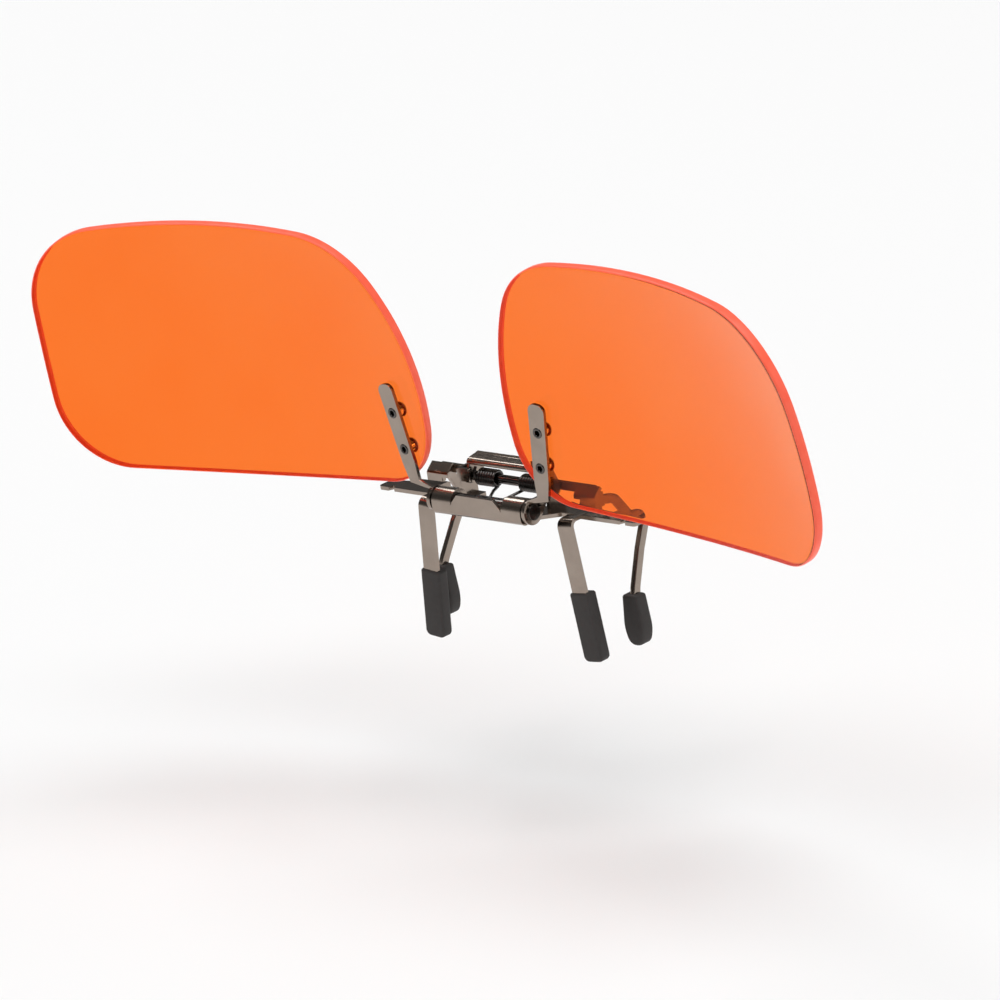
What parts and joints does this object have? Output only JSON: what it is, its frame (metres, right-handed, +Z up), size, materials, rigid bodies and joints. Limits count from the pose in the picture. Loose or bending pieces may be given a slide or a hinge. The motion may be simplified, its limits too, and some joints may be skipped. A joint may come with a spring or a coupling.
{
  "type": "clip-on flip-up lenses",
  "caption": "Tinted clip-on lenses that flip up on a hinge above a sprung clip with rubber grips for spectacles.",
  "frame": {"origin": "middle of the gap between the front grips and the rear pads, on the symmetry plane", "axes": "+X along the lens span, to the right seen from the front; -Y towards the front; +Z up along the legs, towards the raised lenses"},
  "size_m": [0.1306, 0.0245, 0.0549],
  "materials": {
    "black_nickel_sheet": "satin black nickel",
    "dark_pin_steel": "polished black nickel",
    "spring_steel": "drawn spring steel, darkened",
    "dark_rubber": "matte",
    "orange_lens": "clear orange tint, polished",
    "clear_nylon": "natural nylon"
  },
  "bodies": {
    "clip": {"front_bracket": "black_nickel_sheet", "front_grip_left": "dark_rubber", "front_grip_right": "dark_rubber", "detent_spring": "spring_steel", "jaw_pin": "dark_pin_steel", "jaw_pin_washers": "dark_pin_steel", "torsion_spring": "spring_steel"},
    "flip_frame": {"flip_pin": "dark_pin_steel", "flip_pin_washers": "dark_pin_steel", "lens_arm_left": "black_nickel_sheet", "lens_arm_right": "black_nickel_sheet", "lens_left": "orange_lens", "lens_right": "orange_lens", "lens_bushings_left": "clear_nylon", "lens_bushings_right": "clear_nylon", "lens_rivets_left": "dark_pin_steel", "lens_rivets_right": "dark_pin_steel"},
    "rear_jaw": {"rear_jaw": "black_nickel_sheet", "rear_arm_left": "black_nickel_sheet", "rear_arm_right": "black_nickel_sheet", "rear_pad_left": "dark_rubber", "rear_pad_right": "dark_rubber"}
  },
  "joints": [
    {"name": "flip_hinge", "type": "hinge", "parent": "clip", "child": "flip_frame", "pos_m": [0, -0.0044, 0.0155], "axis": [1, 0, 0], "range_deg": [0, 173], "deforming": ["detent_spring"]},
    {"name": "jaw_hinge", "type": "hinge", "parent": "clip", "child": "rear_jaw", "pos_m": [0, 0.0009, 0.0169], "axis": [1, 0, 0], "range_deg": [-10, 19], "stiffness_Nm_per_rad": 0.04, "springref_deg": -20.05, "deforming": ["torsion_spring"]}
  ]
}
